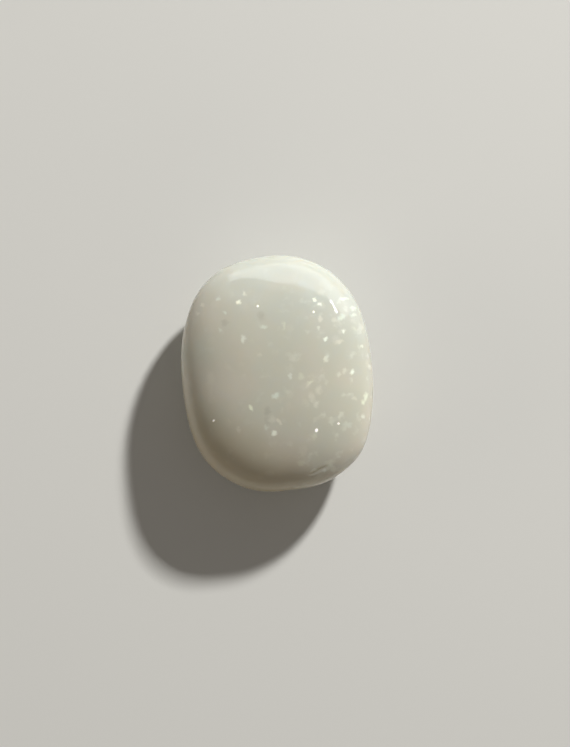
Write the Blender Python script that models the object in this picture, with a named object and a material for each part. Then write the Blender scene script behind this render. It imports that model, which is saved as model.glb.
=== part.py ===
"""A tumbled pebble of milky opal: one polished, pillow-shaped stone that rests on a small worn flat.

Metres, +Z up. +Y runs along the stone's length, +X across its width, and the origin is the middle of
the stone's footprint, on the surface that it rests on.
"""

import math

import bmesh
import bpy
from mathutils import Matrix, Vector

# The stone before wear: half its width and length, and its height above and below the waist
HALF_WIDTH = 0.01004
HALF_LENGTH = 0.0124
CROWN_HEIGHT = 0.005
BELLY_DEPTH = 0.005

# How square the outline and the side profile are: 2 is an ellipse, and more is fuller at the corners
OUTLINE_POWER = 2.43
PROFILE_POWER = 2.25

# The long axis leans to the left at its far end
LEAN = math.radians(5)

# The resting flat is worn this far into the bottom
RESTING_WEAR = 0.00014

# Swells, and hollows where the height is below zero, of the stone's skin:
# azimuth and elevation of the middle in degrees, height in metres, reach in degrees
SWELLS = (
    (318, 0, 0.00022, 13),
    (298, 14, -0.00005, 6),
    (279, 0, -0.00012, 12),
    (248, -4, -0.0001, 10),
    (225, 4, 0.0001, 12),
    (151, 0, -0.0001, 12),
    (91, 0, 0.0001, 11),
    (60, -4, -0.0001, 14),
    (20, -30, 0.00014, 16),
    (170, -34, 0.00012, 18),
    (255, -38, -0.00012, 16),
)

# Soft flats that tumbling wore: azimuth and elevation of each flat's normal in degrees, and its depth
WORN_FLATS = (
    (115, 62, 0.00005),
    (89, 60, 0.00007),
    (66, 61, 0.00006),
    (200, -52, 0.00016),
    (325, -58, 0.00014),
    (72, -54, 0.00018),
    (140, -34, 0.0001),
    (285, -30, 0.0001),
)

# Width of the rounding where a worn flat runs out into the skin
FLAT_EDGE = 0.00004

# The icosphere that becomes the skin, and the distance under which the cut's doubled points merge
SPHERE_LEVEL = 5
MERGE_DISTANCE = 0.00002

MILKY_WHITE = (0.72, 0.70, 0.62, 1.0)
POLISHED_ROUGHNESS = 0.12


def heading(azimuth, elevation):
    """Unit vector towards an azimuth from +X and an elevation above the waist, both in degrees."""
    turn, rise = math.radians(azimuth), math.radians(elevation)
    return Vector((math.cos(rise) * math.cos(turn), math.cos(rise) * math.sin(turn), math.sin(rise)))


def pillow_point(direction):
    """Carry a point of the unit sphere to the pillow that the stone was before wear.

    The outline is a superellipse, and every upright section through the middle is one too.
    """
    across, along, up = direction
    outline = (abs(across) ** OUTLINE_POWER + abs(along) ** OUTLINE_POWER) ** (1 / OUTLINE_POWER)
    spread = (outline ** PROFILE_POWER + abs(up) ** PROFILE_POWER) ** (-1 / PROFILE_POWER)
    height = CROWN_HEIGHT if up > 0 else BELLY_DEPTH
    return Vector((HALF_WIDTH * across, HALF_LENGTH * along, height * up)) * spread


def swell(points):
    """Raise or sink the skin round each swell's middle, fading like a bell curve."""
    for point in points:
        rise = sum(
            height * math.exp(-((point.angle(heading(azimuth, elevation)) / math.radians(reach)) ** 2))
            for azimuth, elevation, height, reach in SWELLS
        )
        point *= 1 + rise / point.length


def wear_flat(points, azimuth, elevation, depth):
    """Wear the stone back to a plane that lies this deep under its furthest point that way."""
    normal = heading(azimuth, elevation)
    plane = max(point.dot(normal) for point in points) - depth
    for point in points:
        over = (point.dot(normal) - plane) / FLAT_EDGE
        point -= normal * FLAT_EDGE * math.log1p(math.exp(over))


def shape_skin(stone):
    """Shape the sphere's points into the tumbled stone."""
    points = [pillow_point(vertex.co.normalized()) for vertex in stone.verts]
    for point in points:
        point.rotate(Matrix.Rotation(LEAN, 3, "Z"))
    swell(points)
    for azimuth, elevation, depth in WORN_FLATS:
        wear_flat(points, azimuth, elevation, depth)
    for vertex, point in zip(stone.verts, points):
        vertex.co = point


def cut_resting_flat(stone):
    """Cut the small flat under the stone and close it with one face."""
    lowest = min(vertex.co.z for vertex in stone.verts)
    cut = bmesh.ops.bisect_plane(
        stone,
        geom=stone.verts[:] + stone.edges[:] + stone.faces[:],
        dist=MERGE_DISTANCE,
        plane_co=(0, 0, lowest + RESTING_WEAR),
        plane_no=(0, 0, -1),
        clear_outer=True,
    )
    rim = [item for item in cut["geom_cut"] if isinstance(item, bmesh.types.BMEdge)]
    bmesh.ops.edgeloop_fill(stone, edges=rim)
    bmesh.ops.recalc_face_normals(stone, faces=stone.faces[:])


def stand_on_origin(stone):
    """Put the middle of the footprint on the origin and the resting flat at z = 0."""
    low = Vector([min(vertex.co[axis] for vertex in stone.verts) for axis in range(3)])
    high = Vector([max(vertex.co[axis] for vertex in stone.verts) for axis in range(3)])
    middle = (low + high) / 2
    bmesh.ops.translate(stone, verts=stone.verts[:], vec=(-middle.x, -middle.y, -low.z))


def opal_material():
    """Milky white stone with a tumbler's polish."""
    material = bpy.data.materials.new("milky_opal")
    material.use_nodes = True
    shader = material.node_tree.nodes["Principled BSDF"]
    shader.inputs["Base Color"].default_value = MILKY_WHITE
    shader.inputs["Roughness"].default_value = POLISHED_ROUGHNESS
    shader.inputs["Metallic"].default_value = 0.0
    return material


def make_opal():
    """Make the stone as one closed solid."""
    stone = bmesh.new()
    bmesh.ops.create_icosphere(stone, subdivisions=SPHERE_LEVEL, radius=1.0)
    shape_skin(stone)
    cut_resting_flat(stone)
    stand_on_origin(stone)
    mesh = bpy.data.meshes.new("opal")
    stone.to_mesh(mesh)
    stone.free()
    mesh.shade_smooth()
    mesh.materials.append(opal_material())
    opal = bpy.data.objects.new("opal", mesh)
    bpy.context.scene.collection.objects.link(opal)


for old in list(bpy.data.objects):
    bpy.data.objects.remove(old)
make_opal()
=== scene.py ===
"""The looks of a tumbled pebble of milky opal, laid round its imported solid.

Metres, +Z up. The stone's skin is worked out on a fine grid from the same formula and wear as the solid,
and fitted to the solid's box. Patterns in the stone are measured in millimetres.
"""

import math

import bpy
import numpy as np
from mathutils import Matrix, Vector


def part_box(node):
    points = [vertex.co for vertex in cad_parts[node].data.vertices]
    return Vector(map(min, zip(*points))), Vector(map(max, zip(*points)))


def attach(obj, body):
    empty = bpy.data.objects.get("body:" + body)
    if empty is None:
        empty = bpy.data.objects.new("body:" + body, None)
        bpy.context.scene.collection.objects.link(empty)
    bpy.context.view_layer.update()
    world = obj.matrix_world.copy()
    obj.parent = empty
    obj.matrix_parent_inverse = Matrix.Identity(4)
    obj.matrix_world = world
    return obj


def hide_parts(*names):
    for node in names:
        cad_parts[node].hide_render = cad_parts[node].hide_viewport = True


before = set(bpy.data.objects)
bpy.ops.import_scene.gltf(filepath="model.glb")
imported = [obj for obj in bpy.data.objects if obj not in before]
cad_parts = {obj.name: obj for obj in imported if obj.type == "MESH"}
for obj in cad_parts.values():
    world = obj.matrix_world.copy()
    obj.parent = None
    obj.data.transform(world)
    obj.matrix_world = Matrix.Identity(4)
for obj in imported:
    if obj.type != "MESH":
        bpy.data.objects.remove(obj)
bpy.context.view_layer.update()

MM = 0.001

# The stone before wear: half its width and length, and its height above and below the waist
HALF_WIDTH = 0.01004
HALF_LENGTH = 0.0124
CROWN_HEIGHT = 0.005
BELLY_DEPTH = 0.005
OUTLINE_POWER = 2.43
PROFILE_POWER = 2.25
LEAN = math.radians(5)
RESTING_WEAR = 0.00014

# Swells and hollows of the skin: azimuth and elevation in degrees, height in metres, reach in degrees
SWELLS = (
    (318, 0, 0.00022, 13),
    (298, 14, -0.00005, 6),
    (279, 0, -0.00012, 12),
    (248, -4, -0.0001, 10),
    (225, 4, 0.0001, 12),
    (151, 0, -0.0001, 12),
    (91, 0, 0.0001, 11),
    (60, -4, -0.0001, 14),
    (20, -30, 0.00014, 16),
    (170, -34, 0.00012, 18),
    (255, -38, -0.00012, 16),
)

# Soft flats that tumbling wore: azimuth and elevation of each flat's normal in degrees, and its depth
WORN_FLATS = (
    (115, 62, 0.00005),
    (89, 60, 0.00007),
    (66, 61, 0.00006),
    (200, -52, 0.00016),
    (325, -58, 0.00014),
    (72, -54, 0.00018),
    (140, -34, 0.0001),
    (285, -30, 0.0001),
)
FLAT_EDGE = 0.00004
RESTING_EDGE = 0.00001

# The shallow waves that the tumbler left in the polish: azimuth and elevation that each wave runs
# towards, its height and its length in metres
WAVES = (
    (12, 0, 0.0000035, 0.0034),
    (75, 10, 0.000003, 0.0029),
    (128, -5, 0.0000035, 0.0041),
    (160, 20, 0.0000022, 0.0022),
    (40, -60, 0.0000022, 0.0026),
)

# A thin ledge at the lower right, where a sliver of the skin came away: its middle across and along the
# stone, half its run, its turn, the depth of its step, how far the step fades outwards, how wide the step's
# rounded edge is, and over which share of each half run it tapers off
LEDGE_MIDDLE = (0.0043, -0.0099)
LEDGE_HALF_RUN = 0.0013
LEDGE_TURN = math.radians(24)
LEDGE_DEPTH = 0.00011
LEDGE_FADE = 0.0005
LEDGE_EDGE = 0.00006
LEDGE_TAPER = 0.5

# Squares along each side of the six grids that close into the skin
GRID_CELLS = 126

# How high the stone's waist is over the floor, near enough to aim the camera and the lamps
WAIST = 0.005

# The photograph's height in pixels, and what one of its pixels spans on the stone
FRAME_ROWS = 747
PIXEL = 0.0001053

# The camera: how far it stands to the right of the stone's middle and over the floor, the nearest and the
# furthest that it sees, and its sensor in millimetres
CAMERA_ASIDE = 0.00083
CAMERA_HEIGHT = 0.3
CAMERA_NEAR = 0.01
CAMERA_FAR = 5.0
SENSOR = 36.0

# The floor: half its side, and the hair by which it lies under the resting flat
FLOOR_REACH = 2.0
FLOOR_DROP = 0.00002
FLOOR_GREY = (0.64, 0.64, 0.62, 1)
FLOOR_ROUGHNESS = 0.9
FLOOR_GLOSS = 0.2

# The lamps that light the stone, a small key and two side fills: how far off they stand, the azimuth and
# elevation of each in degrees, the size of its face in metres and the brightness of that face
LAMP_DISTANCE = 0.8
KEY_WAY = (57, 30)
KEY_SIZE = (0.06, 0.06)
KEY_BRIGHTNESS = 815
FILLS = (((182, 14), 1.8), ((292, 14), 1.1))
FILL_SIZE = (0.5, 0.3)
ROOM_BRIGHTNESS = 0.165

# The lamps that only the polish mirrors: a strip, which makes the bright streak, and an upright softbox at
# its own distance and height, which makes the pale band
STRIP_WAY = (37, 32)
STRIP_SIZE = (0.15, 0.05)
STRIP_BRIGHTNESS = 20
WINDOW_AZIMUTH = 72
WINDOW_DISTANCE = 0.7
WINDOW_HEIGHT = 0.24
WINDOW_SIZE = (1.5, 0.48)
WINDOW_BRIGHTNESS = 3.1

NEUTRAL_LIGHT = (1.0, 0.99, 0.96)
COOL_LIGHT = (0.96, 0.98, 1.0)
WARM_LIGHT = (1.0, 0.93, 0.84)


def heading(azimuth, elevation):
    """Unit vector towards an azimuth from +X and an elevation above the waist, both in degrees."""
    turn, rise = math.radians(azimuth), math.radians(elevation)
    return np.array([math.cos(rise) * math.cos(turn), math.cos(rise) * math.sin(turn), math.sin(rise)])


def soft_ramp(value, edge):
    """Zero below zero and the value itself above, with a rounded corner: edge * log(1 + e^(v/edge))."""
    return edge * np.logaddexp(0, value / edge)


def soft_step(value):
    """Ease from 0 at and below zero to 1 at and above one: 3t^2 - 2t^3."""
    t = np.clip(value, 0, 1)
    return t * t * (3 - 2 * t)


def closed_sphere_grid(cells):
    """Unit directions over a cube's six faces, with lines at equal angles, and the squares that join them.

    A face's two parameters run from -45 to 45 degrees, and their tangents are its places on the cube.
    Points that the faces share along their seams are welded.
    """
    steps = np.tan(np.linspace(-math.pi / 4, math.pi / 4, cells + 1))
    u, v = np.meshgrid(steps, steps, indexing="ij")
    one = np.ones_like(u)
    faces = ((u, v, one), (v, u, -one), (one, u, v), (-one, v, u), (v, one, u), (u, -one, v))
    points = np.concatenate([np.stack(face, -1).reshape(-1, 3) for face in faces])
    points /= np.linalg.norm(points, axis=1, keepdims=True)
    _, first, welded = np.unique(np.round(points, 6), axis=0, return_index=True, return_inverse=True)
    corner = np.arange(6 * (cells + 1) ** 2).reshape(6, cells + 1, cells + 1)
    ring = (corner[:, :-1, :-1], corner[:, 1:, :-1], corner[:, 1:, 1:], corner[:, :-1, 1:])
    squares = welded.reshape(-1)[np.stack(ring, -1).reshape(-1, 4)]
    return points[first], squares


def pillow(directions):
    """Carry unit directions to the unworn pillow: a superellipse outline under a superellipse profile."""
    across, along, up = np.abs(directions).T
    outline = (across ** OUTLINE_POWER + along ** OUTLINE_POWER) ** (1 / OUTLINE_POWER)
    spread = (outline ** PROFILE_POWER + up ** PROFILE_POWER) ** (-1 / PROFILE_POWER)
    height = np.where(directions[:, 2] > 0, CROWN_HEIGHT, BELLY_DEPTH)
    halves = np.stack([np.full_like(height, HALF_WIDTH), np.full_like(height, HALF_LENGTH), height], -1)
    return directions * halves * spread[:, None]


def lean_over(points):
    """Turn the stone about its upright axis, so that its long axis leans."""
    cos, sin = math.cos(LEAN), math.sin(LEAN)
    return points @ np.array([[cos, sin, 0], [-sin, cos, 0], [0, 0, 1]])


def swell(points):
    """Raise or sink the skin outwards round each swell's middle: height * e^-(angle / reach)^2."""
    length = np.linalg.norm(points, axis=1)
    rise = np.zeros_like(length)
    for azimuth, elevation, height, reach in SWELLS:
        angle = np.arccos(np.clip(points @ heading(azimuth, elevation) / length, -1, 1))
        rise += height * np.exp(-((angle / math.radians(reach)) ** 2))
    return points * (1 + rise / length)[:, None]


def wear_flat(points, azimuth, elevation, depth):
    """Wear the stone back to a plane that lies this deep under its furthest point that way."""
    normal = heading(azimuth, elevation)
    reach = points @ normal
    return points - soft_ramp(reach - (reach.max() - depth), FLAT_EDGE)[:, None] * normal


def roll_waves(points):
    """Move the skin in and out by crossed sine waves: height * sin(2 pi * distance / length)."""
    rise = np.zeros(len(points))
    for azimuth, elevation, height, length in WAVES:
        rise += height * np.sin(2 * math.pi * (points @ heading(azimuth, elevation)) / length)
    return points * (1 + rise / np.linalg.norm(points, axis=1))[:, None]


def step_ledge(points):
    """Sink the crown by a thin step along the ledge's line. The step fades outwards and at both ends."""
    cos, sin = math.cos(LEDGE_TURN), math.sin(LEDGE_TURN)
    across = points[:, 0] - LEDGE_MIDDLE[0]
    along = points[:, 1] - LEDGE_MIDDLE[1]
    run = (across * cos + along * sin) / LEDGE_HALF_RUN
    outward = across * sin - along * cos
    edge = soft_step(outward / LEDGE_EDGE + 0.5)
    fade = soft_step(1 - outward / LEDGE_FADE)
    ends = soft_step((1 - np.abs(run)) / LEDGE_TAPER)
    sunk = points.copy()
    sunk[:, 2] -= np.where(points[:, 2] > 0, LEDGE_DEPTH * edge * fade * ends, 0)
    return sunk


def wear_resting_flat(points):
    """Wear the bottom to the level plane that the stone rests on."""
    worn = points.copy()
    level = points[:, 2].min() + RESTING_WEAR
    worn[:, 2] = level + soft_ramp(points[:, 2] - level, RESTING_EDGE)
    return worn


def fit_to_solid(points):
    """Shift and stretch the skin by a hair along each axis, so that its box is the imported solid's box."""
    low, high = (np.array(corner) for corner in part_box("opal"))
    own_low, own_high = points.min(axis=0), points.max(axis=0)
    return low + (points - own_low) * (high - low) / (own_high - own_low)


def mesh_piece(name, points, squares, material):
    """Put whole arrays of points and four-cornered faces into a smooth mesh at the origin."""
    mesh = bpy.data.meshes.new(name)
    mesh.vertices.add(len(points))
    mesh.vertices.foreach_set("co", points.astype(np.float32).ravel())
    mesh.loops.add(squares.size)
    mesh.loops.foreach_set("vertex_index", squares.astype(np.int32).ravel())
    mesh.polygons.add(len(squares))
    mesh.polygons.foreach_set("loop_start", np.arange(0, squares.size, 4, dtype=np.int32))
    mesh.update(calc_edges=True)
    mesh.shade_smooth()
    mesh.materials.append(material)
    piece = bpy.data.objects.new(name, mesh)
    bpy.context.scene.collection.objects.link(piece)
    return piece


class Wire:
    """A socket in a shader's tree. Arithmetic on it adds Math nodes, and node() adds any other node."""

    def __init__(self, tree, socket=None):
        self.tree = tree
        self.socket = socket

    def node(self, kind, settings=None, inputs=None, output=0):
        """Add a node: its settings first, then a value or a link for each input named or numbered."""
        node = self.tree.nodes.new(kind)
        for name, value in (settings or {}).items():
            setattr(node, name, value)
        for name, value in (inputs or {}).items():
            if isinstance(value, Wire):
                self.tree.links.new(value.socket, node.inputs[name])
            else:
                node.inputs[name].default_value = value
        return Wire(self.tree, node.outputs[output])

    def math(self, operation, *values):
        """A Math node on these values."""
        return self.node("ShaderNodeMath", {"operation": operation}, dict(enumerate(values)))

    def vector(self, operation, *values, output=0):
        """A Vector Math node on these values."""
        return self.node("ShaderNodeVectorMath", {"operation": operation}, dict(enumerate(values)), output)

    def __add__(self, other):
        return self.math("ADD", self, other)

    def __mul__(self, other):
        return self.math("MULTIPLY", self, other)

    __radd__ = __add__
    __rmul__ = __mul__

    def scaled(self, factor):
        """This vector times a plain number."""
        return self.node("ShaderNodeVectorMath", {"operation": "SCALE"}, {0: self, "Scale": factor})

    def ease(self, start, end):
        """Zero at start and one at end, eased at both ends. Start may be the larger."""
        bounds = {"Value": self, "From Min": start, "From Max": end}
        return self.node("ShaderNodeMapRange", {"interpolation_type": "SMOOTHSTEP"}, bounds)

    def mix(self, first, second):
        """Mix two colours by this factor."""
        settings = {"data_type": "RGBA", "blend_type": "MIX"}
        return self.node("ShaderNodeMix", settings, {0: self, 6: first, 7: second}, 2)

    def part(self, axis):
        """One of this vector's three parts: 0 across, 1 along and 2 up."""
        return self.node("ShaderNodeSeparateXYZ", None, {0: self}, axis)

    def towards(self, azimuth):
        """How far this place lies towards a level azimuth in degrees."""
        return self.vector("DOT_PRODUCT", self, tuple(heading(azimuth, 0)), output="Value")

    def noise(self, scale, detail, output=0):
        """Soft noise over this place, with this many lumps to a millimetre. Output 1 holds three of them."""
        inputs = {"Vector": self, "Scale": scale, "Detail": detail}
        return self.node("ShaderNodeTexNoise", None, inputs, output)


# The milky body: warm grey white in the middle. Towards the far right, the side that the key lamp lights, it
# is cooler and a little darker, partly the milk's own tint and partly painted shade. At the near left, the
# side away from the lamp, a darker amber is painted shade
BODY_MILK = (0.54, 0.54, 0.465, 1)
BODY_CREAM = (0.575, 0.55, 0.475, 1)
LIT_SIDE_COOL_SHADE = (0.515, 0.54, 0.495, 1)
SHADED_SIDE_AMBER = (0.47, 0.41, 0.29, 1)
SOFT_DARK = (0.40, 0.385, 0.33, 1)
# Painted highlight: the white of the glints
PAINTED_GLINT_WHITE = (1.0, 0.99, 0.95, 1)
BLACK = (0, 0, 0, 1)

# The finish: the faint glow of the painted glints, a tumbler's polish, how far light spreads in the milk,
# and the shares of that for red, green and blue
PAINTED_GLINT_GLOW = 0.5
POLISH_ROUGHNESS = 0.07
OPAL_IOR = 1.45
SCATTER_REACH = 2.8 * MM
SCATTER_SHARES = (1.0, 0.85, 0.68)

# Where the masks begin and end, in millimetres: the crown by height, and what the photograph doesn't show
# below it, the right half across, and the far shoulder along the stone
CROWN_MASK = (4.2, 5.0)
BELOW_MASK = (5.4, 4.4)
RIGHT_MASK = (-3.0, 7.0)
SHOULDER_MASK = (9.2, 7.2)

# The two tinted ends of the milk, which follow the key lamp: the cooler, slightly darker end on its lit side
# is partly painted shade, and the amber end on its far side is painted shade. Each one's azimuth in degrees,
# where it begins and where it is full in millimetres from the middle, and how strong it is. The cool end
# varies from its least strength to full
LIT_SIDE_AZIMUTH = 68
LIT_SIDE_MASK = (1.5, 9.5)
LIT_SIDE_LEAST = 0.6
SHADED_SIDE_AZIMUTH = 238
SHADED_SIDE_MASK = (4.0, 11.0)
SHADED_SIDE_STRENGTH = 0.75

# Soft noises: lumps to a millimetre and detail, and the range of the noise that becomes none to full
CLOUD_NOISE = (0.16, 3.0)
CLOUD_RANGE = (0.35, 0.65)
LIT_SIDE_NOISE = (0.3, 1.0)
LIT_SIDE_RANGE = (0.2, 0.7)
VEIL_NOISE = (0.75, 2.0)
VEIL_RANGE = (0.56, 0.74)

# The ripple that makes the flecks uneven: lumps to a millimetre and detail, and its sway in millimetres
RIPPLE_NOISE = (2.2, 2.0)
RIPPLE_SWAY = 0.6

# Veils and hazy flecks: their strength everywhere, and what the right half adds to it
VEIL_STRENGTH = 0.06
VEIL_ON_RIGHT = 0.2
HAZE_STRENGTH = 0.04
HAZE_ON_RIGHT = 0.11

# Flecks at random: cells to a millimetre, the share of cells with a fleck, and its spread in cells
HAZY_FLECKS = (0.62, 0.4, 0.42)
MINT_BELOW = (0.8, 0.5, 0.3)
LIME_BELOW = (0.7, 0.4, 0.34)
MINT_BELOW_STRENGTH = 0.7
LIME_BELOW_STRENGTH = 0.6

# A fleck at random is even out to the first of these shares of its spread. Of all such flecks, the second
# share is at full strength and the others are fainter
FLECK_CORE = 0.4
FULL_FLECKS = 0.5

# Play of colour that shows on the crown. By tint, each fleck's place, length and width in millimetres, its
# turn in degrees and its strength. Painted glints and dark spots are listed in the same way
FLECK_TINTS = {
    "white": (0.87, 0.91, 0.82, 1),
    "lime": (0.84, 0.88, 0.73, 1),
    "mint": (0.79, 0.87, 0.79, 1),
    "blush": (0.84, 0.82, 0.72, 1),
}
FLECKS = {
    "white": (
        (-4.0, 7.4, 0.62, 0.5, 10, 0.95),
        (3.9, 7.7, 0.5, 0.36, 60, 0.9),
        (4.4, 7.2, 0.6, 0.36, -20, 0.9),
        (5.1, 3.6, 0.5, 0.42, 20, 0.9),
        (-0.3, -6.2, 0.62, 0.5, -35, 0.8),
        (7.8, 0.1, 0.62, 0.54, 80, 0.9),
        (-3.4, 8.3, 0.5, 0.7, 10, 0.4),
        (-3.5, 3.6, 0.56, 0.9, 0, 0.5),
        (4.3, 4.7, 0.4, 0.34, 0, 0.4),
        (5.1, 1.5, 0.8, 0.5, 80, 0.5),
        (9.0, -4.5, 0.44, 0.6, 0, 0.5),
        (8.9, 2.8, 0.44, 0.4, 0, 0.5),
        (9.7, 0.7, 0.4, 0.7, 20, 0.4),
        (1.4, -0.3, 0.44, 0.6, 0, 0.35),
        (6.9, 4.4, 0.54, 0.5, 0, 0.8),
        (6.4, -0.1, 0.6, 0.5, 30, 0.3),
        (7.0, 0.3, 0.5, 0.7, 0, 0.3),
        (3.8, -10.1, 0.9, 0.4, 20, 0.35),
        (4.9, -10.1, 0.5, 0.4, 0, 0.3),
    ),
    "lime": (
        (-2.7, -3.6, 0.8, 0.46, -50, 0.8),
        (9.3, -2.4, 1.0, 0.46, 80, 0.6),
        (9.0, -3.0, 0.5, 0.6, 0, 0.6),
        (3.4, -0.9, 0.7, 0.44, 40, 0.4),
        (2.5, -0.3, 0.6, 0.8, 0, 0.25),
        (2.6, -9.3, 1.1, 0.6, 10, 0.2),
        (5.5, -9.3, 1.3, 0.7, 30, 0.25),
        (3.9, -6.5, 0.5, 0.8, -20, 0.25),
        (0.7, 5.0, 0.4, 0.9, 0, 0.25),
    ),
    "mint": (
        (-0.1, -2.3, 0.86, 0.66, 20, 0.5),
        (6.7, 5.9, 0.8, 0.6, 30, 0.5),
        (8.0, 6.8, 0.7, 0.55, 0, 0.5),
        (8.0, 6.1, 0.7, 0.45, 0, 0.5),
        (7.0, 7.8, 1.1, 0.4, 0, 0.6),
        (-1.4, 4.8, 0.8, 0.46, 5, 0.4),
        (-1.1, -5.6, 0.6, 0.6, 0, 0.3),
        (-5.9, 4.5, 0.44, 0.4, 0, 0.3),
        (-5.4, 6.3, 0.44, 0.44, 0, 0.4),
        (-6.1, 7.8, 0.5, 0.4, 0, 0.4),
        (7.3, -5.3, 1.2, 0.7, 0, 0.25),
    ),
    "blush": (
        (4.5, 5.7, 0.44, 0.6, 0, 0.4),
        (4.3, -1.7, 1.0, 0.7, 70, 0.3),
        (3.6, -2.4, 0.7, 1.1, 20, 0.26),
        (4.1, -3.2, 0.9, 0.6, 60, 0.3),
        (3.2, -1.2, 0.6, 0.7, 0, 0.24),
        (6.5, 3.3, 0.9, 0.34, 0, 0.4),
        (8.1, -2.6, 0.6, 0.5, 0, 0.3),
        (0.2, -5.0, 0.46, 0.8, 30, 0.4),
        (-0.5, -4.8, 0.9, 0.7, 20, 0.22),
        (-4.0, -5.9, 0.5, 0.7, 0, 0.22),
        (-7.8, 7.2, 0.5, 0.44, 0, 0.35),
        (-8.3, 6.3, 0.44, 0.44, 0, 0.35),
        (-6.9, -0.6, 1.0, 1.6, 0, 0.14),
        (-1.8, 1.9, 0.7, 0.4, 0, 0.2),
        (1.6, 1.5, 0.7, 0.5, 0, 0.2),
    ),
}

# Painted glints: white sparks, about a third of a millimetre across, that stand for highlights on the
# polish, and soft darker spots in the milk
PAINTED_GLINTS = (
    (-2.0, 7.0, 0.26, 0.26, 0, 0.9),
    (-6.6, -4.9, 0.3, 0.2, 45, 0.75),
    (4.1, -5.9, 0.42, 0.32, 75, 1.0),
    (6.4, -5.2, 0.28, 0.26, 0, 0.9),
    (3.8, 6.4, 0.24, 0.26, 0, 0.85),
)
DARK_SPOTS = (
    (-1.6, 6.0, 0.9, 1.0, 0, 0.4),
    (-5.4, 5.3, 0.8, 0.7, 0, 0.4),
    (-1.0, -3.9, 0.8, 1.0, 0, 0.4),
    (-1.0, -5.0, 0.5, 1.2, 10, 0.2),
)

# A listed spot runs this many millimetres up and down, so right through the stone. In halves of its own
# length and width, it is gone at the first of these distances from its middle and full at the second
SPOT_DEPTH = 100
SPOT_FADE = (1.35, 0.3)


def spot_mask(place, spots):
    """Sum of soft spots, each an upright oval column in the stone that the skin cuts."""
    total = 0.0
    for x, y, length, width, turn, strength in spots:
        spot = {
            "Vector": place,
            "Location": (x, y, 0),
            "Rotation": (0, 0, math.radians(turn)),
            "Scale": (length / 2, width / 2, SPOT_DEPTH),
        }
        local = place.node("ShaderNodeMapping", {"vector_type": "TEXTURE"}, spot)
        distance = local.vector("LENGTH", local, output="Value")
        total = place.math("MULTIPLY_ADD", distance.ease(*SPOT_FADE), strength, total)
    return total


def scattered_flecks(place, cells, share, spread):
    """Small patches in the depth of the stone: one in each of a share of the cells, fading outwards."""
    settings = {"voronoi_dimensions": "3D", "feature": "F1"}
    inputs = {"Vector": place, "Scale": cells, "Randomness": 1.0}
    distance = place.node("ShaderNodeTexVoronoi", settings, inputs, 0)
    chance = place.node("ShaderNodeTexVoronoi", settings, inputs, 1)
    lot = place.node("ShaderNodeSeparateColor", None, {0: chance}, 0)
    return distance.ease(spread, spread * FLECK_CORE) * lot.ease(1 - share, 1 - share * FULL_FLECKS)


def opal_body_and_painted_shade(place):
    """Milk with clouds, a cool tint that is partly painted shade at the far right, and painted amber shade
    at the near left.
    """
    cloud = place.noise(*CLOUD_NOISE).ease(*CLOUD_RANGE)
    body = cloud.mix(BODY_MILK, BODY_CREAM)
    haze = place.noise(*LIT_SIDE_NOISE).ease(*LIT_SIDE_RANGE)
    # Partly painted shade: cooler and a little darker towards the side that the key lamp lights, broken up
    # by noise
    lit_side_cool_shade = place.towards(LIT_SIDE_AZIMUTH).ease(*LIT_SIDE_MASK) * (haze * (1 - LIT_SIDE_LEAST) + LIT_SIDE_LEAST)
    # Painted shade: darker and amber at the near left, the side away from the key lamp
    painted_amber_shade = place.towards(SHADED_SIDE_AZIMUTH).ease(*SHADED_SIDE_MASK) * SHADED_SIDE_STRENGTH
    return painted_amber_shade.mix(lit_side_cool_shade.mix(body, LIT_SIDE_COOL_SHADE), SHADED_SIDE_AMBER)


def clouded_colour(place, warped, crown):
    """Lay veils, dark spots and hazy flecks over the body, with stronger veils and haze on the right."""
    right = place.part(0).ease(*RIGHT_MASK) * place.part(1).ease(*SHOULDER_MASK)
    veil = warped.noise(*VEIL_NOISE).ease(*VEIL_RANGE) * (right * VEIL_ON_RIGHT + VEIL_STRENGTH)
    colour = veil.mix(opal_body_and_painted_shade(place), FLECK_TINTS["white"])
    colour = (spot_mask(warped, DARK_SPOTS) * crown).mix(colour, SOFT_DARK)
    haze = scattered_flecks(warped, *HAZY_FLECKS) * (right * HAZE_ON_RIGHT + HAZE_STRENGTH)
    return haze.mix(colour, FLECK_TINTS["blush"])


def flecked_colour(colour, place, warped, crown):
    """Add flecks at random below the crown, and the listed flecks on it."""
    below = place.part(2).ease(*BELOW_MASK)
    mint = scattered_flecks(warped, *MINT_BELOW) * below * MINT_BELOW_STRENGTH
    colour = mint.mix(colour, FLECK_TINTS["mint"])
    lime = scattered_flecks(warped, *LIME_BELOW) * below * LIME_BELOW_STRENGTH
    colour = lime.mix(colour, FLECK_TINTS["lime"])
    for tint, flecks in FLECKS.items():
        colour = (spot_mask(warped, flecks) * crown).mix(colour, FLECK_TINTS[tint])
    return colour


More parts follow.
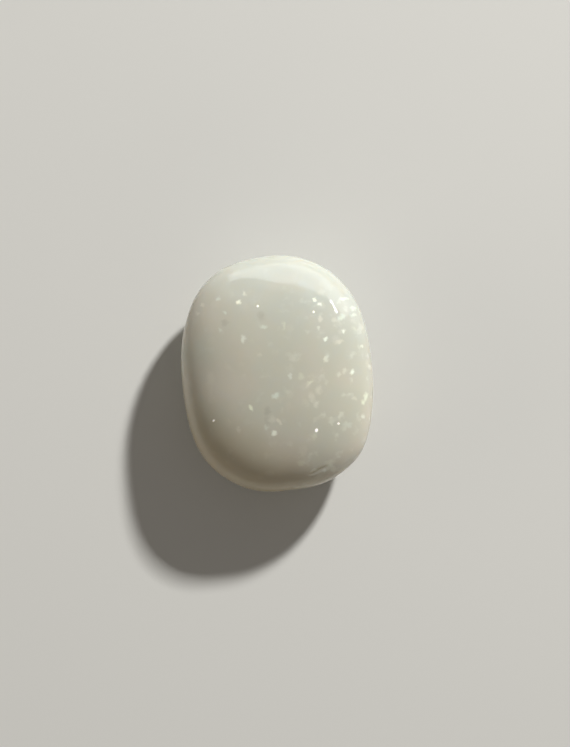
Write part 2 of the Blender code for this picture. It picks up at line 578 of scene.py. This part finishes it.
def milky_opal():
    """Milky body with clouds, veils, flecks of colour, painted shade, painted glints and a tumbler's polish.
    """
    material = bpy.data.materials.new("milky_opal")
    material.use_nodes = True
    tree = material.node_tree
    shader = tree.nodes["Principled BSDF"]
    place = Wire(tree).node("ShaderNodeTexCoord", output="Object").scaled(1 / MM)
    ripple = place.noise(*RIPPLE_NOISE, output=1)
    ripple = ripple.vector("SUBTRACT", ripple, (0.5, 0.5, 0.5)).scaled(RIPPLE_SWAY)
    warped = place.vector("ADD", place, ripple)
    crown = place.part(2).ease(*CROWN_MASK)

    colour = flecked_colour(clouded_colour(place, warped, crown), place, warped, crown)
    # Painted highlights: the glints are white in the base colour and glow faintly by emission, though they
    # are no lamp
    painted_glints = spot_mask(place, PAINTED_GLINTS) * crown
    tree.links.new(painted_glints.mix(colour, PAINTED_GLINT_WHITE).socket, shader.inputs["Base Color"])
    tree.links.new(painted_glints.mix(BLACK, PAINTED_GLINT_WHITE).socket, shader.inputs["Emission Color"])
    shader.inputs["Emission Strength"].default_value = PAINTED_GLINT_GLOW
    shader.inputs["Roughness"].default_value = POLISH_ROUGHNESS
    shader.inputs["IOR"].default_value = OPAL_IOR
    shader.inputs["Subsurface Weight"].default_value = 1.0
    shader.inputs["Subsurface Radius"].default_value = SCATTER_SHARES
    shader.inputs["Subsurface Scale"].default_value = SCATTER_REACH
    return material


def make_stone():
    """The whole stone: pillow, lean, swells, worn flats, polish waves, ledge and resting flat."""
    directions, squares = closed_sphere_grid(GRID_CELLS)
    points = swell(lean_over(pillow(directions)))
    for azimuth, elevation, depth in WORN_FLATS:
        points = wear_flat(points, azimuth, elevation, depth)
    points = step_ledge(roll_waves(points))
    points = fit_to_solid(wear_resting_flat(points))
    stone = mesh_piece("opal_stone", points, squares, milky_opal())
    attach(stone, "root")
    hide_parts("opal")


def floor_finish():
    """Plain pale matt floor."""
    material = bpy.data.materials.new("pale_floor")
    material.use_nodes = True
    shader = material.node_tree.nodes["Principled BSDF"]
    shader.inputs["Base Color"].default_value = FLOOR_GREY
    shader.inputs["Roughness"].default_value = FLOOR_ROUGHNESS
    shader.inputs["Specular IOR Level"].default_value = FLOOR_GLOSS
    return material


def make_floor():
    """A level floor, a hair under the stone's resting flat."""
    sides = ((-1, -1), (1, -1), (1, 1), (-1, 1))
    corners = np.array([(x * FLOOR_REACH, y * FLOOR_REACH, -FLOOR_DROP) for x, y in sides])
    floor = mesh_piece("floor", corners, np.array([[0, 1, 2, 3]]), floor_finish())


def area_light(name, place, towards, size, brightness, colour, gloss=True, diffuse=True):
    """A softbox at a place, facing a point. Its power is pi times its area times its face's brightness.

    Without gloss the polish doesn't mirror it, and without diffuse it doesn't light the milk.
    """
    light = bpy.data.lights.new(name, "AREA")
    light.shape = "RECTANGLE"
    light.size, light.size_y = size
    light.energy = brightness * math.pi * size[0] * size[1]
    light.color = colour
    lamp = bpy.data.objects.new(name, light)
    lamp.location = place
    lamp.rotation_euler = (Vector(place) - Vector(towards)).to_track_quat("Z", "Y").to_euler()
    lamp.visible_camera = False
    lamp.visible_glossy = gloss
    lamp.visible_diffuse = diffuse
    bpy.context.scene.collection.objects.link(lamp)


def light_scene():
    """A small key, a window and a strip that the polish mirrors, two side fills and a dim room."""
    middle = Vector((0, 0, WAIST))
    key = Vector(heading(*KEY_WAY)) * LAMP_DISTANCE
    area_light("key", key, middle, KEY_SIZE, KEY_BRIGHTNESS, NEUTRAL_LIGHT, gloss=False)
    level = Vector((0, 0, WINDOW_HEIGHT))
    window = Vector(heading(WINDOW_AZIMUTH, 0)) * WINDOW_DISTANCE + level
    area_light("window", window, level, WINDOW_SIZE, WINDOW_BRIGHTNESS, COOL_LIGHT, diffuse=False)
    strip = Vector(heading(*STRIP_WAY)) * LAMP_DISTANCE
    area_light("strip", strip, middle, STRIP_SIZE, STRIP_BRIGHTNESS, NEUTRAL_LIGHT, diffuse=False)
    for way, brightness in FILLS:
        fill = Vector(heading(*way)) * LAMP_DISTANCE
        area_light("fill", fill, middle, FILL_SIZE, brightness, WARM_LIGHT, gloss=False)
    world = bpy.data.worlds.new("room")
    world.use_nodes = True
    room = world.node_tree.nodes["Background"]
    room.inputs["Color"].default_value = (*WARM_LIGHT, 1)
    room.inputs["Strength"].default_value = ROOM_BRIGHTNESS
    bpy.context.scene.world = world


def make_camera():
    """Look straight down, with the stone a little left of the frame's middle as in the photograph."""
    frame_height = FRAME_ROWS * PIXEL
    camera = bpy.data.cameras.new("camera")
    camera.sensor_width = SENSOR
    camera.lens = SENSOR * (CAMERA_HEIGHT - WAIST) / frame_height
    camera.clip_start = CAMERA_NEAR
    camera.clip_end = CAMERA_FAR
    viewer = bpy.data.objects.new("camera", camera)
    viewer.location = (CAMERA_ASIDE, 0.0, CAMERA_HEIGHT)
    bpy.context.scene.collection.objects.link(viewer)
    bpy.context.scene.camera = viewer


make_stone()
make_floor()
light_scene()
make_camera()
bpy.context.scene.view_settings.view_transform = "Standard"
